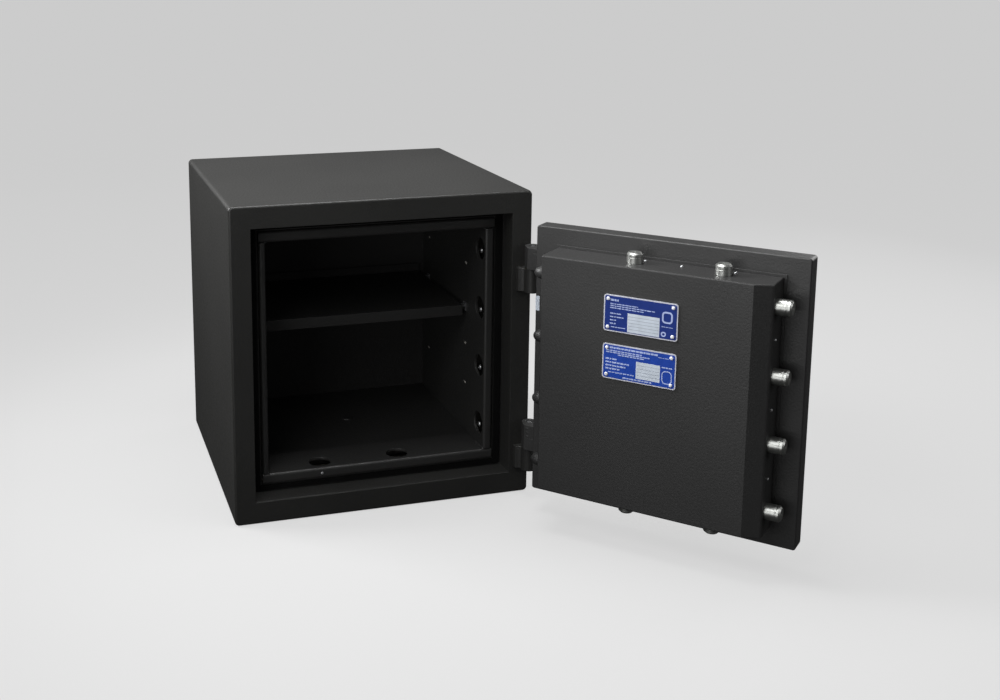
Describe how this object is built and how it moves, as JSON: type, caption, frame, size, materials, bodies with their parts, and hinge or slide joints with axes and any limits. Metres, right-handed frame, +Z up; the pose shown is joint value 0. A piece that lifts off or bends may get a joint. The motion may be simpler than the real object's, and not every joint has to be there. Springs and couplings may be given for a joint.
{
  "type": "fire-resistant document safe",
  "caption": "Free-standing fire- and burglary-resistant document safe with a thick outward-hinged door, handle-driven sliding bolts, fixed hinge-side pins and a removable shelf.",
  "frame": {"origin": "centre of the case's underside", "axes": "+Z up; -Y out of the doorway; +X towards the hinge side; the door stands open in the rest pose"},
  "size_m": [0.7507, 0.843, 0.5],
  "materials": {
    "case_paint": "fine-textured matte powder coat, near black",
    "inner_paint": "fine-textured matte powder coat, near black",
    "door_paint": "fine-textured matte powder coat, dark anthracite",
    "barrier": "cast mineral barrier material, rough",
    "seal_strip": "black intumescent strip, matte",
    "bright_steel": "turned and polished steel",
    "plain_steel": "plain zinc-plated steel",
    "brass": "machined brass",
    "black_plastic": "black moulded plastic",
    "label_print": "blue printed aluminium plate with a silver border"
  },
  "bodies": {
    "case": {"outer_case": "case_paint", "back_panel": "case_paint", "barrier_fill": "barrier", "inner_liner": "inner_paint", "door_frame": "case_paint", "fire_seal": "seal_strip", "frame_head": "inner_paint", "frame_sill": "inner_paint", "frame_jamb_left": "inner_paint", "frame_jamb_right": "inner_paint", "anchor_sleeve": "plain_steel", "anchor_cap": "black_plastic", "shelf_clip_front_left": "plain_steel", "shelf_clip_front_right": "plain_steel", "shelf_clip_rear_left": "plain_steel", "shelf_clip_rear_right": "plain_steel", "hinge_upper_body_leaf": "case_paint", "hinge_upper_pin": "plain_steel", "hinge_upper_washer": "brass", "hinge_lower_body_leaf": "case_paint", "hinge_lower_pin": "plain_steel", "hinge_lower_washer": "brass"},
    "shelf": {"shelf": "inner_paint"},
    "door": {"door_plate": "door_paint", "door_fill": "barrier", "hard_plate": "plain_steel", "mounting_plate": "plain_steel", "plug_cover": "door_paint", "hinge_upper_door_leaf": "door_paint", "hinge_lower_door_leaf": "door_paint", "dog_pin_1": "door_paint", "dog_pin_2": "door_paint", "dog_pin_3": "door_paint", "dog_pin_4": "door_paint", "label_plate_upper": "label_print", "label_plate_lower": "label_print", "handle_rose": "black_plastic", "lock_case": "plain_steel", "key_escutcheon": "black_plastic", "key_cover_pivot": "plain_steel"},
    "handle": {"handle_lever": "bright_steel", "handle_spindle": "plain_steel", "drive_cam": "plain_steel"},
    "side_bolts": {"side_bar": "plain_steel", "side_bolt_1": "bright_steel", "side_bolt_2": "bright_steel", "side_bolt_3": "bright_steel", "side_bolt_4": "bright_steel"},
    "top_bolts": {"top_bar": "plain_steel", "top_bolt_1": "bright_steel", "top_bolt_2": "bright_steel"},
    "bottom_bolts": {"bottom_bar": "plain_steel", "bottom_bolt_1": "bright_steel", "bottom_bolt_2": "bright_steel"},
    "lock_bolt": {"lock_bolt": "brass"},
    "key_cover": {"key_cover": "black_plastic"}
  },
  "joints": [
    {"name": "door_swing", "type": "hinge", "parent": "case", "child": "door", "pos_m": [0.2335, -0.244, 0.25], "axis": [0, 0, 1], "range_deg": [-131.9, 48.1]},
    {"name": "handle_turn", "type": "hinge", "parent": "door", "child": "handle", "pos_m": [0.3945, -0.45188, 0.25], "axis": [-0.7443, -0.6678, 0], "range_deg": [0, 90]},
    {"name": "side_bolts_slide", "type": "slide", "parent": "door", "child": "side_bolts", "axis": [-0.6678, 0.7443, 0], "range_m": [0, 0.022]},
    {"name": "top_bolts_slide", "type": "slide", "parent": "door", "child": "top_bolts", "axis": [0, 0, -1], "range_m": [0, 0.016]},
    {"name": "bottom_bolts_slide", "type": "slide", "parent": "door", "child": "bottom_bolts", "axis": [0, 0, 1], "range_m": [0, 0.016]},
    {"name": "lock_bolt_throw", "type": "slide", "parent": "door", "child": "lock_bolt", "axis": [0, 0, 1], "range_m": [-0.01, 0]},
    {"name": "key_cover_swing", "type": "hinge", "parent": "door", "child": "key_cover", "pos_m": [0.42343, -0.47664, 0.345], "axis": [-0.7443, -0.6678, 0], "range_deg": [0, 100]},
    {"name": "shelf_slide", "type": "slide", "parent": "case", "child": "shelf", "axis": [0, -1, 0], "range_m": [0, 0.03]}
  ],
  "couplings": [
    {"joint": "side_bolts_slide", "follows": "handle_turn", "m_per_rad": 0.014006},
    {"joint": "top_bolts_slide", "follows": "handle_turn", "m_per_rad": 0.010186},
    {"joint": "bottom_bolts_slide", "follows": "handle_turn", "m_per_rad": 0.010186}
  ]
}
